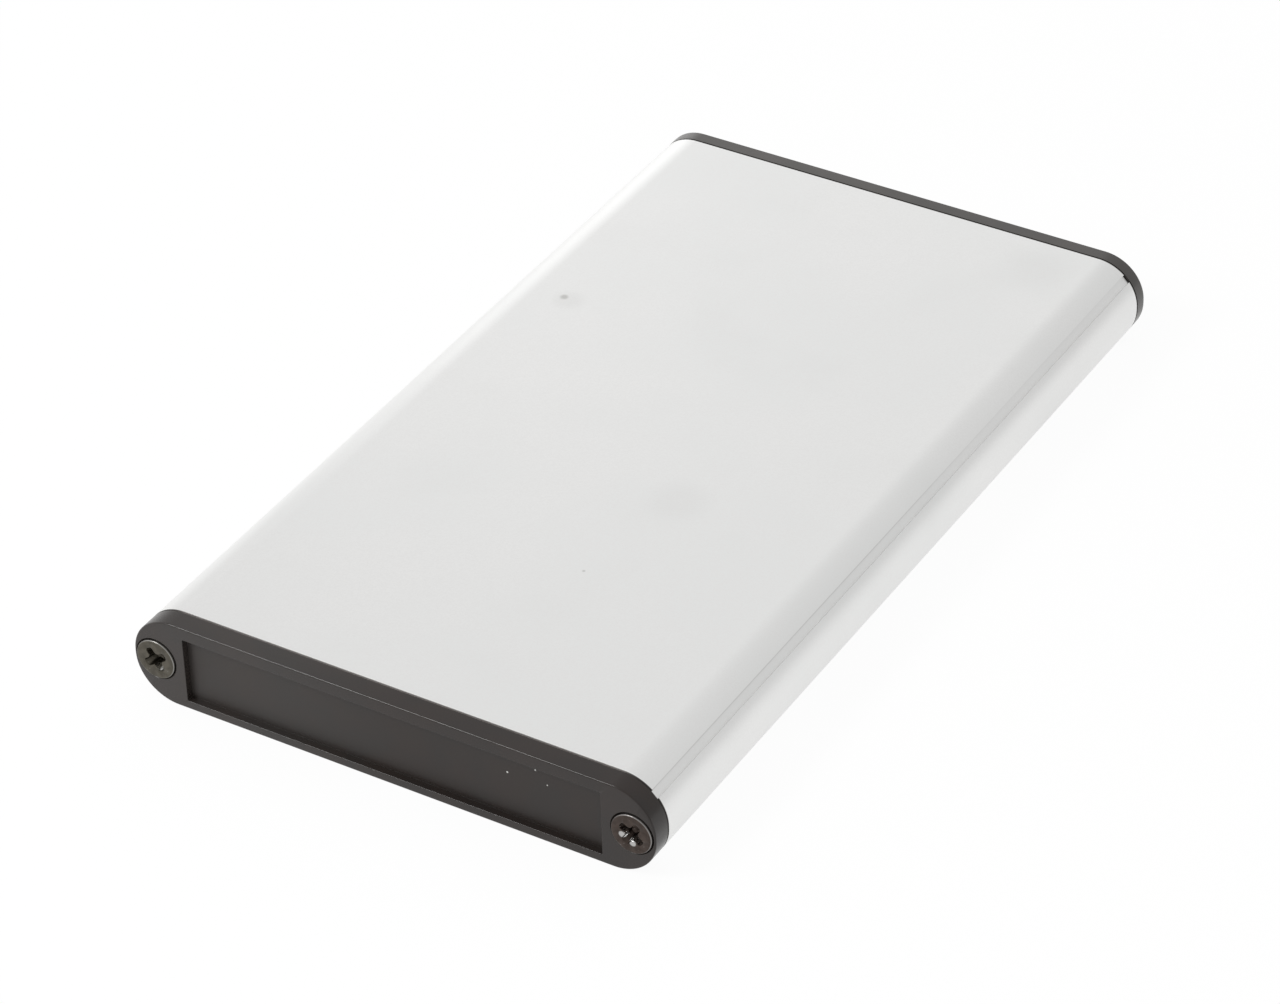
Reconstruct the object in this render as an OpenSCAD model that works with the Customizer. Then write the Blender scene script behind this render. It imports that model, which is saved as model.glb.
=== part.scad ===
// Extruded aluminium enclosure: a slim hollow extrusion, closed at each end by a moulded
// cap that two countersunk screws draw onto it. The screws run into ports in the side walls.
// Millimetres. The origin is under the middle of the enclosure, on the surface it rests on:
// +X to its right, +Y to its rear end, +Z up.

/* [Enclosure] */
// Width across the two rounded sides
enclosure_w = 75; // [50:0.5:120]
// Height
enclosure_h = 12.5; // [11.5:0.25:40]
// Cut length of the extrusion, without the caps
body_len = 125; // [40:1:250]
// Radius of the four long outer edges, limited by the height
edge_r = 6; // [3:0.25:6]

/* [Extrusion] */
// Wall thickness
wall = 1.5; // [1.2:0.1:2.2]
// Chamfer left round the outside of the cut ends where the saw's burr came off
deburr = 0.15; // [0.05:0.05:0.3]
// Width of the flat-bottomed groove along the upper right edge
groove_w = 1.2; // [0.6:0.1:1.8]
// Depth of that groove
groove_depth = 0.3; // [0.15:0.05:0.5]
// Place of that groove round its edge, in degrees up from the side
groove_angle = 44; // [30:1:60]

/* [Board guides] */
// Height of each slot that a circuit board slides in
board_slot = 1.8; // [1.2:0.1:2]
// Height of the ledge that carries a board clear of the wall
ledge_h = 0.6; // [0.4:0.05:1]
// Thickness of the rib on the slot's other side
rib_t = 1; // [0.8:0.1:1.4]
// Distance from the enclosure's side to the tips of the guides
guide_reach = 7.4; // [6.8:0.1:10]

/* [Screw ports] */
// Distance from the enclosure's side to a screw's axis
screw_inset = 3.25; // [3.2:0.05:4]
// Bore that the screw cuts its thread in
port_bore_d = 2.7; // [2.65:0.05:2.8]
// Wall round the bore
port_wall = 0.95; // [0.7:0.05:1.2]
// Width of the mouth that opens a port to the inside
port_mouth = 1.2; // [0.6:0.1:2]

/* [End caps] */
// Thickness of the front cap outside the extrusion
front_cap_t = 2.9; // [2.2:0.1:6]
// Thickness of the rear cap outside the extrusion
rear_cap_t = 2.1; // [2:0.1:6]
// Radius of a cap's outer edge
cap_edge_r = 0.3; // [0.1:0.05:0.3]
// Chamfer that leaves a shadow line where a cap meets the extrusion
seam_chamfer = 0.15; // [0.05:0.05:0.4]
// Depth that a cap's plug reaches into the extrusion
plug_depth = 4; // [2:0.25:10]
// Wall of the plug
plug_wall = 1.2; // [0.8:0.1:2]
// Radius of the plug's corners
plug_corner_r = 1; // [0.6:0.1:1.5]
// Lead-in chamfer round the plug's end
plug_lead = 0.4; // [0.2:0.05:0.5]
// Clearance round the plug
plug_gap = 0.15; // [0.05:0.05:0.3]

/* [Front recess] */
// Depth of the recess in the front cap
recess_depth = 1; // [0.4:0.1:1.5]
// Rim left between the recess and each side
recess_side_rim = 7.5; // [6.6:0.1:15]
// Rim left above the recess
recess_top_rim = 1.8; // [0.8:0.05:3]
// Rim left below the recess
recess_bottom_rim = 1.25; // [0.8:0.05:3]

/* [Screws] */
// Length over all, with the head
screw_len = 8; // [6:1:16]
// Diameter of the thread's pitch cylinder
screw_shank_d = 2.64; // [2.5:0.02:2.64]
// Diameter of the countersunk head
head_d = 5.6; // [5:0.1:5.6]
// Height that a head stands proud of its cap
head_proud = 0.25; // [0:0.05:0.5]
// Gap round the head in its countersink
head_gap = 0.12; // [0.05:0.01:0.12]
// Clearance hole through a cap
clearance_d = 3.3; // [3.1:0.1:3.6]
// Span of the cross recess
cross_d = 3.15; // [2.4:0.05:3.4]
// Depth of the cross recess
cross_depth = 1.5; // [1:0.05:1.6]
// Width of the cross recess's arms
cross_w = 0.8; // [0.5:0.05:1]
// Turn of each screw's cross, in degrees from the width
front_left_turn = 33; // [0:1:89]
front_right_turn = 57; // [0:1:89]
rear_left_turn = 12; // [0:1:89]
rear_right_turn = 71; // [0:1:89]

/* [Hidden] */

$fn = 96;
LEAST_FLAT = 0.5;   // height of side wall that stays flat between its rounded edges
RIGHT = 1;
LEFT = -1;
OVERSHOOT = 1;      // how far a cutter runs past the face that it opens

aluminium = "#d4d4d1";
cap_black = "#474543";
screw_black = "#56514a";

total_len = front_cap_t + body_len + rear_cap_t;
front_y = -total_len / 2;
rear_y = total_len / 2;
body_y = front_y + front_cap_t;
mid_z = enclosure_h / 2;

corner_r = min(edge_r, (enclosure_h - LEAST_FLAT) / 2);
inner_w = enclosure_w - 2 * wall;
inner_h = enclosure_h - 2 * wall;
inner_r = corner_r - wall;

guide_x = enclosure_w / 2 - guide_reach;
port_x = enclosure_w / 2 - screw_inset;
port_r = port_bore_d / 2 + port_wall;

plug_w = 2 * (guide_x - plug_gap);
plug_h = inner_h - 2 * plug_gap;
recess_w = enclosure_w - 2 * recess_side_rim;
recess_h = enclosure_h - recess_top_rim - recess_bottom_rim;

head_r = head_d / 2;
shank_r = screw_shank_d / 2;
head_land = head_proud + head_gap;            // straight rim above the 90 degree cone
head_depth = head_land + head_r - shank_r;    // head's top to the start of the shank
mouth_r = head_r + head_gap;                  // countersink at the cap's face
rim_break = 0.1;                              // broken edge round the head's top
tip_chamfer = 0.5;
cross_taper = 0.5;                            // how much an arm shortens per depth
core_top_r = 0.95;
core_bottom_r = 0.45;

// ---- Shared shapes ----

// Rectangle with round corners, centred
module rounded_rect(w, h, r) {
    square([w - 2 * r, h], center = true);
    square([w, h - 2 * r], center = true);
    for (x = [-1, 1], y = [-1, 1]) {
        translate([x * (w / 2 - r), y * (h / 2 - r)]) circle(r = r);
    }
}

// Plate with round corners, standing on the XY plane. The child is the profile of its rim,
// drawn out from the centre of a corner
module rimmed_plate(w, h, r, t) {
    run_x = w - 2 * r;
    run_y = h - 2 * r;
    for (flip_x = [0, 1], flip_y = [0, 1]) {
        mirror([flip_x, 0, 0]) mirror([0, flip_y, 0]) translate([run_x / 2, run_y / 2, 0]) {
            rotate_extrude(angle = 90) children();
        }
    }
    for (turn = [0, 180]) {
        rotate([0, 0, turn]) {
            translate([run_x / 2, run_y / 2, 0]) rotate([90, 0, 0]) linear_extrude(run_y) children();
            translate([-run_x / 2, run_y / 2, 0]) {
                rotate([90, 0, 90]) linear_extrude(run_x) children();
            }
        }
    }
    translate([-run_x / 2, -run_y / 2, 0]) cube([run_x, run_y, t]);
}

// Puts a shape whose +Z points out of the enclosure on the front or rear face
module at_front(x = 0) {
    translate([x, front_y, mid_z]) rotate([90, 0, 0]) children();
}
module at_rear(x = 0) {
    translate([x, rear_y, mid_z]) rotate([90, 0, 180]) children();
}

// ---- Extrusion ----

// Board guides and screw port inside the right-hand side wall
module side_guides() {
    wall_x = inner_w / 2 + wall / 2;
    ledge_top = ledge_h - inner_h / 2;
    slot_top = ledge_top + board_slot;
    difference() {
        union() {
            translate([port_x, 0]) circle(r = port_r);
            translate([port_x, -port_r]) square([wall_x - port_x, 2 * port_r]);
            for (flip = [0, 1]) {
                mirror([0, flip]) {
                    translate([guide_x + ledge_h, -inner_h / 2]) circle(r = ledge_h);
                    translate([guide_x + ledge_h, -inner_h / 2]) {
                        square([wall_x - guide_x - ledge_h, ledge_h]);
                    }
                    translate([guide_x + rib_t / 2, slot_top + rib_t / 2]) circle(d = rib_t);
                    translate([guide_x + rib_t / 2, slot_top]) {
                        square([wall_x - guide_x - rib_t / 2, rib_t]);
                    }
                }
            }
        }
        for (flip = [0, 1]) {
            mirror([0, flip]) translate([guide_x, ledge_top]) square([guide_reach, board_slot]);
        }
    }
}

// Space inside the extrusion, with the ports' bores and mouths
module cavity_section() {
    difference() {
        rounded_rect(inner_w, inner_h, inner_r);
        side_guides();
        mirror([1, 0]) side_guides();
    }
    for (side = [LEFT, RIGHT]) {
        translate([side * port_x, 0]) circle(d = port_bore_d);
        translate([side * (port_x - port_r / 2 - OVERSHOOT / 2), 0]) {
            square([port_r + OVERSHOOT, port_mouth], center = true);
        }
    }
}

module groove_section() {
    translate([enclosure_w / 2 - corner_r, enclosure_h / 2 - corner_r]) rotate(groove_angle) {
        translate([corner_r - groove_depth, -groove_w / 2]) {
            square([groove_depth + OVERSHOOT, groove_w]);
        }
    }
}

// Rim of the extrusion along its length, broken at both cut ends
module body_rim_profile() {
    polygon([
        [0, 0],
        [corner_r - deburr, 0],
        [corner_r, deburr],
        [corner_r, body_len - deburr],
        [corner_r - deburr, body_len],
        [0, body_len]
    ]);
}

module body() {
    color(aluminium) {
        translate([0, body_y + body_len, mid_z]) rotate([90, 0, 0]) difference() {
            rimmed_plate(enclosure_w, enclosure_h, corner_r, body_len) body_rim_profile();
            translate([0, 0, -OVERSHOOT]) linear_extrude(body_len + 2 * OVERSHOOT) {
                cavity_section();
                groove_section();
            }
        }
    }
}

// ---- Caps ----

// Rim of a cap: broken edge at the seam, rounded edge at the outer face
module cap_rim_profile(t) {
    polygon([
        [0, 0],
        [corner_r - seam_chamfer, 0],
        [corner_r, seam_chamfer],
        [corner_r, t - cap_edge_r],
        [corner_r - cap_edge_r, t - cap_edge_r],
        [corner_r - cap_edge_r, t],
        [0, t]
    ]);
    translate([corner_r - cap_edge_r, t - cap_edge_r]) circle(r = cap_edge_r);
}

module plug_rim_profile() {
    polygon([
        [0, 0],
        [plug_corner_r, 0],
        [plug_corner_r, plug_depth - plug_lead],
        [plug_corner_r - plug_lead, plug_depth],
        [0, plug_depth]
    ]);
}

// Hollow plug, reaching down from the XY plane
module plug() {
    mirror([0, 0, 1]) {
        difference() {
            rimmed_plate(plug_w, plug_h, plug_corner_r, plug_depth) plug_rim_profile();
            translate([0, 0, plug_depth / 2 + OVERSHOOT / 2]) {
                cube(
                    [plug_w - 2 * plug_wall, plug_h - 2 * plug_wall, plug_depth + OVERSHOOT],
                    center = true
                );
            }
        }
    }
}

// Countersunk hole whose mouth is at the origin
module screw_seat(t) {
    cone_depth = mouth_r - shank_r;
    translate([0, 0, -t - OVERSHOOT]) cylinder(d = clearance_d, h = t + 2 * OVERSHOOT);
    translate([0, 0, -cone_depth]) {
        cylinder(r1 = shank_r, r2 = mouth_r + OVERSHOOT, h = cone_depth + OVERSHOOT);
    }
}

// Plain cap whose outer face is on the XY plane
module cap(t) {
    difference() {
        translate([0, 0, -t]) {
            rimmed_plate(enclosure_w, enclosure_h, corner_r, t) cap_rim_profile(t);
            plug();
        }
        for (side = [LEFT, RIGHT]) {
            translate([side * port_x, 0, 0]) screw_seat(t);
        }
    }
}

module front_cap() {
    color(cap_black) at_front() {
        difference() {
            cap(front_cap_t);
            translate([
                -recess_w / 2, recess_bottom_rim - enclosure_h / 2, -recess_depth
            ]) {
                cube([recess_w, recess_h, recess_depth + OVERSHOOT]);
            }
        }
    }
}

module rear_cap() {
    color(cap_black) at_rear() cap(rear_cap_t);
}

// ---- Screws ----

module cross_recess() {
    reach = cross_d / 2;
    translate([0, 0, -cross_depth]) {
        intersection() {
            union() {
                for (turn = [0, 90]) {
                    rotate([0, 0, turn]) translate([0, 0, cross_depth / 2 + OVERSHOOT / 2]) {
                        cube([cross_d + OVERSHOOT, cross_w, cross_depth + OVERSHOOT], center = true);
                    }
                }
            }
            cylinder(
                r1 = reach - cross_taper * cross_depth,
                r2 = reach + cross_taper * OVERSHOOT,
                h = cross_depth + OVERSHOOT
            );
        }
        cylinder(
            r1 = core_bottom_r,
            r2 = core_top_r + (core_top_r - core_bottom_r) * OVERSHOOT / cross_depth,
            h = cross_depth + OVERSHOOT
        );
    }
}

// Screw seated in a countersink whose mouth is at the origin
module screw(turn) {
    color(screw_black) translate([0, 0, head_proud]) difference() {
        rotate_extrude() polygon([
            [0, -screw_len],
            [shank_r - tip_chamfer, -screw_len],
            [shank_r, tip_chamfer - screw_len],
            [shank_r, -head_depth],
            [head_r, -head_land],
            [head_r, -rim_break],
            [head_r - rim_break, 0],
            [0, 0]
        ]);
        rotate([0, 0, turn]) cross_recess();
    }
}

module front_left_screw() {
    at_front(LEFT * port_x) screw(front_left_turn);
}

module front_right_screw() {
    at_front(RIGHT * port_x) screw(front_right_turn);
}

module rear_left_screw() {
    at_rear(LEFT * port_x) screw(rear_left_turn);
}

module rear_right_screw() {
    at_rear(RIGHT * port_x) screw(rear_right_turn);
}

body();
front_cap();
rear_cap();
front_left_screw();
front_right_screw();
rear_left_screw();
rear_right_screw();
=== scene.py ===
"""A slim extruded aluminium enclosure: its body, two moulded end caps and four screws."""
import math

import bmesh
import bpy
from bpy.props import FloatProperty, FloatVectorProperty, PointerProperty
from bpy.types import Operator, Panel, PropertyGroup
from mathutils import Matrix, Vector


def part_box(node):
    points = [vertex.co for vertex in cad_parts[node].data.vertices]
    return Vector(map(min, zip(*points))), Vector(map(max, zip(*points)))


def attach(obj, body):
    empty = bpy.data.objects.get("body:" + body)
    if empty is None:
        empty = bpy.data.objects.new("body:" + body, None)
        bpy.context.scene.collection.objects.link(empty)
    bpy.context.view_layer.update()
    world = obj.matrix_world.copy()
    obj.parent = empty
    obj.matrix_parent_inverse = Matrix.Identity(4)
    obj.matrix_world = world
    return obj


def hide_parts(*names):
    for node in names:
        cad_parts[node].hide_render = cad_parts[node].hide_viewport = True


bl_info = {
    "name": "Extruded Enclosure",
    "version": (1, 0, 0),
    "blender": (4, 5, 0),
    "location": "3D View > Sidebar > Enclosure",
    "description": "Builds a slim aluminium enclosure with moulded end caps and countersunk screws",
    "category": "Add Mesh",
}

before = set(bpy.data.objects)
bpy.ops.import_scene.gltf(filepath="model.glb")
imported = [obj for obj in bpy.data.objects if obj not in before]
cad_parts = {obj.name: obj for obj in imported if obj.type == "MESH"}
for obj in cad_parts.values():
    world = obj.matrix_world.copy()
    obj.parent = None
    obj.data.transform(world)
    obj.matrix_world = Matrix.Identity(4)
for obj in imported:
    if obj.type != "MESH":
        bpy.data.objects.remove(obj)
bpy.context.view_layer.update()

BODY_LOW, BODY_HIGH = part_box("body")
FRONT_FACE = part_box("front_cap")[0].y
REAR_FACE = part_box("rear_cap")[1].y
WIDTH = BODY_HIGH.x - BODY_LOW.x
HEIGHT = BODY_HIGH.z - BODY_LOW.z
LENGTH = BODY_HIGH.y - BODY_LOW.y
MID_HEIGHT = (BODY_HIGH.z + BODY_LOW.z) / 2

MM = 0.001
TOUCH = 0.001 * MM      # two places closer than this are the same
ARC_STEPS = 20          # faces in a quarter of an extruded or moulded edge
CORNER_STEPS = 6        # faces in a quarter of a small inside corner
EDGE_STEPS = 4          # faces across a rounded edge
HOLE_STEPS = 64         # faces round a hole or a screw
THREAD_STEPS = 48       # faces in a turn of a screw's thread
SHARP = math.radians(32)    # corners over this angle stay sharp
LEFT, RIGHT = -1, 1
# The four screws by their CAD nodes: the end and the side of each
SCREW_PLACES = {
    "front_left_screw": ("front", LEFT),
    "front_right_screw": ("front", RIGHT),
    "rear_left_screw": ("rear", LEFT),
    "rear_right_screw": ("rear", RIGHT),
}
# Where a driver rubbed each cross bare, in mm: x and y from the head's centre, and the radius
RUBS = {
    "front_left_screw": ((0.41, -1.15, 0.45),),
    "front_right_screw": ((-1.25, -0.45, 0.60), (0.20, -1.25, 0.60)),
    "rear_left_screw": ((0.90, 0.60, 0.25),),
    "rear_right_screw": ((-0.50, 1.00, 0.30), (0.95, -0.40, 0.20)),
}
# Small marks on the body's top, in mm: x, y, radius, soft edge, and how dark each is
MARKS = (
    (-27.1, 20.0, 0.2, 0.6, 0.45),
    (-26.2, 19.6, 0.8, 2.2, 0.07),
    (9.9, -12.6, 1.0, 5.0, 0.05),
    (7.1, -31.0, 0.1, 0.2, 0.35),
    (25.5, 56.9, 1.0, 6.0, 0.05),
)
# Pale specks on the floor of the recess, in mm: x, z and radius
SPECKS = ((16.4, 7.7, 0.09), (20.4, 9.6, 0.07), (22.0, 7.9, 0.05))


# ---- Settings a user would change ----

def length(name, description, millimetres):
    """A length in metres, written here in millimetres."""
    return FloatProperty(
        name=name, description=description, default=millimetres * MM, unit="LENGTH", precision=5
    )


def colour(name, description, default):
    """A linear colour."""
    return FloatVectorProperty(
        name=name, description=description, default=default, subtype="COLOR", min=0, max=1
    )


def angle(name, description, degrees):
    """An angle in radians, written here in degrees."""
    return FloatProperty(
        name=name, description=description, default=math.radians(degrees), unit="ROTATION"
    )


class BodySizes(PropertyGroup):
    """Sizes of the extruded section."""

    corner: length("Edge radius", "Radius of the four long outer edges", 6)
    wall: length("Wall", "Wall thickness of the extrusion", 1.5)
    groove_width: length("Groove width", "Width of the groove on the upper right edge", 1.2)
    groove_depth: length("Groove depth", "Depth of that groove", 0.3)
    groove_angle: angle("Groove angle", "Place of the groove round its edge, up from the side", 44)
    ledge: length("Ledge height", "Height of the ledge under a circuit board", 0.6)
    slot: length("Board slot", "Height of the slot that a board slides in", 1.8)
    rib: length("Rib thickness", "Thickness of the rib beyond the slot", 1)
    guide_reach: length("Guide reach", "Distance from the side to the tips of the guides", 7.4)
    screw_inset: length("Screw inset", "Distance from the side to a screw's axis", 3.25)
    bore: length("Port bore", "Diameter of the bore that a screw cuts its thread in", 2.7)
    port_wall: length("Port wall", "Wall round the bore", 0.95)
    mouth: length("Port mouth", "Width of the mouth that opens a port to the inside", 1.2)
    deburr: length("Deburr", "Chamfer round the cut ends", 0.15)


class CapSizes(PropertyGroup):
    """Sizes of the moulded end caps."""

    edge: length("Edge radius", "Radius of the outer edge", 0.2)
    seam: length("Seam width", "Width of the shadow gap against the extrusion", 0.12)
    seam_depth: length("Seam depth", "Depth of that gap", 0.25)
    plug_depth: length("Plug depth", "Reach of the plug into the extrusion", 4)
    plug_wall: length("Plug wall", "Wall of the plug", 1.2)
    plug_corner: length("Plug corner", "Radius of the plug's corners", 1)
    plug_lead: length("Lead-in", "Chamfer round the plug's end", 0.4)
    plug_gap: length("Plug gap", "Clearance round the plug", 0.15)
    hole: length("Screw hole", "Diameter of the clearance hole", 3.3)
    recess_depth: length("Recess depth", "Depth of the front recess", 1)
    recess_side: length("Side rim", "Rim between the recess and each side", 7.5)
    recess_top: length("Top rim", "Rim above the recess", 1.8)
    recess_bottom: length("Bottom rim", "Rim below the recess", 1.25)
    recess_edge: length("Recess edge", "Radius of the recess's edge", 0.08)


class ScrewSizes(PropertyGroup):
    """Sizes of the countersunk screws."""

    head: length("Head", "Diameter of the head", 5.6)
    proud: length("Proud", "Height that a head stands above its cap", 0.25)
    gap: length("Gap", "Gap round the head in its countersink", 0.22)
    rim: length("Rim radius", "Radius round the top of the head", 0.15)
    reach: length("Length", "Length over all", 8)
    core: length("Core", "Diameter at the root of the thread", 2.387)
    shank: length("Pitch diameter", "Diameter at the middle of the thread", 2.64)
    thread: length("Thread", "Diameter over the thread", 3)
    pitch: length("Pitch", "Distance between turns of the thread", 0.5)
    cross: length("Cross", "Span of the cross recess", 3.6)
    cross_width: length("Arm width", "Width of the cross's arms", 1.1)
    cross_depth: length("Cross depth", "Depth of the cross recess", 1.5)
    turns: FloatVectorProperty(
        name="Turns",
        description="Turn of each cross: front left, front right, rear left, rear right",
        size=4,
        default=tuple(math.radians(degrees) for degrees in (33, 57, 12, 71)),
        unit="ROTATION",
    )


class Colours(PropertyGroup):
    """Colours of the finishes."""

    aluminium: colour("Aluminium", "Satin aluminium", (0.855, 0.853, 0.845))
    # The cap's colour is also painted as shade in the body's seams against the caps
    plastic: colour("Plastic", "Moulded cap", (0.0125, 0.0085, 0.0068))
    olive: colour("Plating", "Black plating, olive side", (0.115, 0.105, 0.085))
    brown: colour("Brown plating", "Black plating, brown side", (0.075, 0.058, 0.050))
    steel: colour("Bare steel", "Steel where a driver wore the plating off", (0.85, 0.85, 0.84))
    # Pale dust for the specks, also painted as the sheen on the caps' left side
    dust: colour("Dust", "Pale dust", (0.55, 0.55, 0.53))
    # How much paler the rear cap is made, by a pale film in clouds
    haze: FloatProperty(
        name="Haze", description="Dust on the rear cap", default=0.08, min=0, max=1,
        subtype="FACTOR",
    )
    # The soil colour is also painted as shade along the groove's corner
    soil_and_shade: colour("Soil", "Dark specks and smudges", (0.30, 0.29, 0.27))


class StageSettings(PropertyGroup):
    """Floor, light and camera."""

    floor: colour("Floor", "Floor and backdrop", (0.92, 0.92, 0.92))
    shadow: FloatProperty(
        name="Shadow", description="Share of its own shading that the white floor keeps",
        default=0.06, min=0, max=1, subtype="FACTOR",
    )
    horizon: FloatProperty(
        name="Horizon", description="Light from the foot of the tent's walls", default=0.66, min=0
    )
    zenith: FloatProperty(
        name="Zenith", description="Light from the tent's top", default=0.785, min=0
    )
    left: FloatProperty(
        name="Left wall", description="Light that the left wall adds", default=0.70, min=0
    )
    lamp: FloatProperty(
        name="Lamp", description="Power of the soft lamp behind on the left", default=0.17,
        unit="POWER",
    )
    edge: FloatProperty(
        name="Edge lamp", description="Power of the small lamp beside the left edge", default=0.026,
        unit="POWER",
    )
    key: FloatProperty(
        name="Key lamp", description="Power of the lamp in front on the left", default=2.4,
        unit="POWER",
    )
    azimuth: angle("Azimuth", "Camera's place round the enclosure, from the front", 31.86)
    elevation: angle("Elevation", "Camera's height above the floor", 36.13)
    roll: angle("Roll", "Camera's roll", -1.72)
    distance: FloatProperty(
        name="Distance", description="Camera to its target", default=0.6106, unit="LENGTH"
    )
    target: FloatVectorProperty(
        name="Target", description="What the camera looks at",
        default=(0.00125, -0.00791, MID_HEIGHT), subtype="XYZ", unit="LENGTH", precision=5,
    )
    lens: FloatProperty(
        name="Lens", description="Focal length", default=133.55, unit="CAMERA"
    )


class Settings(PropertyGroup):
    """Everything that the operators read."""

    body: PointerProperty(type=BodySizes)
    cap: PointerProperty(type=CapSizes)
    screw: PointerProperty(type=ScrewSizes)
    colours: PointerProperty(type=Colours)
    stage: PointerProperty(type=StageSettings)


# ---- Outlines: lists of points, anticlockwise ----

def arc(centre, radius, start, end, steps):
    """Points on an arc, both ends included; angles in radians."""
    turns = [start + (end - start) * k / steps for k in range(steps + 1)]
    return [(centre[0] + radius * math.cos(t), centre[1] + radius * math.sin(t)) for t in turns]


def circle(centre, radius):
    """Points round a whole circle."""
    return arc(centre, radius, 0, 2 * math.pi, HOLE_STEPS)[:-1]


def rounded_rect(width, height, radius, steps=ARC_STEPS, centre=(0, 0)):
    """A rectangle with round corners."""
    points = []
    for quarter in range(4):
        middle = math.radians(45 + 90 * quarter)
        x = centre[0] + math.copysign(width / 2 - radius, math.cos(middle))
        y = centre[1] + math.copysign(height / 2 - radius, math.sin(middle))
        start = math.radians(90 * quarter)
        points += arc((x, y), radius, start, start + math.pi / 2, steps)
    return points


def outer_section(sizes):
    """Outside of the extrusion, with the flat-bottomed groove in its upper right edge."""
    radius, turn = sizes.corner, sizes.groove_angle
    half_width = sizes.groove_width / 2
    edge_turn = math.asin(half_width / radius)
    corner = Vector((WIDTH / 2 - radius, HEIGHT / 2 - radius))
    out = Vector((math.cos(turn), math.sin(turn)))
    floor = corner + out * (radius - sizes.groove_depth)
    across = Vector((-out.y, out.x)) * half_width
    points = arc(corner, radius, 0, turn - edge_turn, ARC_STEPS // 2)
    points += [tuple(floor - across), tuple(floor + across)]
    points += arc(corner, radius, turn + edge_turn, math.pi / 2, ARC_STEPS // 2)
    return points + rounded_rect(WIDTH, HEIGHT, radius)[ARC_STEPS + 1:]


def inner_section(sizes):
    """Inside of the extrusion: two ledges, two ribs and a screw port at each side."""
    half_height = HEIGHT / 2 - sizes.wall
    radius = sizes.corner - sizes.wall
    tip = WIDTH / 2 - sizes.guide_reach
    port = WIDTH / 2 - sizes.screw_inset
    corner = (WIDTH / 2 - sizes.wall - radius, radius - half_height)
    ledge_top = sizes.ledge - half_height
    slot_top = ledge_top + sizes.slot
    rib_top = slot_top + sizes.rib
    bore, port_outer = sizes.bore / 2, sizes.bore / 2 + sizes.port_wall
    mouth_turn = math.pi + math.asin(sizes.mouth / 2 / bore)
    steps = ARC_STEPS // 2
    wall_turns = [math.asin((y - corner[1]) / radius) for y in (ledge_top, slot_top)]
    quarter = arc((tip + sizes.ledge, -half_height), sizes.ledge, math.pi, math.pi / 2, steps)
    quarter += arc(corner, radius, *wall_turns, steps)
    quarter += arc(
        (tip + sizes.rib / 2, slot_top + sizes.rib / 2), sizes.rib / 2,
        1.5 * math.pi, math.pi / 2, steps,
    )
    quarter += arc(
        (port, 0), port_outer,
        math.pi - math.asin(rib_top / port_outer), math.pi + math.asin(sizes.mouth / 2 / port_outer),
        steps // 2,
    )
    quarter += arc((port, 0), bore, mouth_turn, 2 * math.pi, ARC_STEPS)
    right = quarter + [(x, -y) for x, y in reversed(quarter[:-1])]
    return right + [(-x, y) for x, y in reversed(right)]


def cross_outline(reach, half_width):
    """A cross with rounded arms and blended inner corners."""
    blend = 0.8 * half_width
    tip = 0.75 * half_width
    points = []
    for quarter in range(4):
        arm = arc((half_width + blend, -half_width - blend), blend, math.pi, math.pi / 2, 4)
        arm += arc((reach - tip, tip - half_width), tip, -math.pi / 2, 0, 4)
        arm += arc((reach - tip, half_width - tip), tip, 0, math.pi / 2, 4)
        turn = Matrix.Rotation(math.radians(90 * quarter), 2)
        points += [tuple(turn @ Vector(point)) for point in arm]
    return points


# ---- Meshes ----

class Shell:
    """A closed surface built up from level outlines, the walls between them and flat fills."""

    def __init__(self):
        self.bm = bmesh.new()

    def ring(self, outline, height):
        """An outline's points at one height."""
        return [self.bm.verts.new((x, y, height)) for x, y in outline]

    def wall(self, first, second):
        """The faces between two rings of as many points."""
        for k in range(len(first)):
            self.bm.faces.new((first[k - 1], first[k], second[k], second[k - 1]))

    def loft(self, outline, steps):
        """Joins outline(inset) at each (inset, height); returns the first and last ring."""
        rings = [self.ring(outline(inset), height) for inset, height in steps]
        for first, second in zip(rings, rings[1:]):
            self.wall(first, second)
        return rings[0], rings[-1]

    def fill(self, *rings):
        """Closes the flat face between an outer ring and any rings inside it."""
        edges = [
            self.bm.edges.get((ring[k - 1], ring[k])) for ring in rings for k in range(len(ring))
        ]
        bmesh.ops.triangle_fill(self.bm, edges=edges, use_beauty=True)

    def mesh(self, name):
        """Turns the surface into a mesh whose faces point outwards."""
        bmesh.ops.recalc_face_normals(self.bm, faces=self.bm.faces)
        data = bpy.data.meshes.new(name)
        self.bm.to_mesh(data)
        self.bm.free()
        return data


def rounded_edge(radius):
    """(inset, height) steps of a quarter round from a face down to a side."""
    turns = [math.pi / 2 * k / EDGE_STEPS for k in range(EDGE_STEPS + 1)]
    return [(radius * (1 - math.sin(t)), -radius * (1 - math.cos(t))) for t in turns]


def facing(end, x=0):
    """Places a shape whose +Z points out of the enclosure on its front or rear face."""
    turn = Matrix.Rotation(math.pi / 2, 4, "X")
    if end == "front":
        return Matrix.Translation((x, FRONT_FACE, MID_HEIGHT)) @ turn
    turn = Matrix.Rotation(math.pi, 4, "Z") @ turn
    return Matrix.Translation((x, REAR_FACE, MID_HEIGHT)) @ turn


def add_object(name, mesh, material=None):
    """Puts a mesh in the scene as an object of its own."""
    piece = bpy.data.objects.new(name, mesh)
    bpy.context.scene.collection.objects.link(piece)
    if material:
        mesh.materials.append(material)
    return piece


def apply_modifiers(piece):
    """Turns the evaluated piece into a plain mesh."""
    graph = bpy.context.evaluated_depsgraph_get()
    mesh = bpy.data.meshes.new_from_object(piece.evaluated_get(graph))
    draft = piece.data
    piece.modifiers.clear()
    piece.data = mesh
    bpy.data.meshes.remove(draft)


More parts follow.
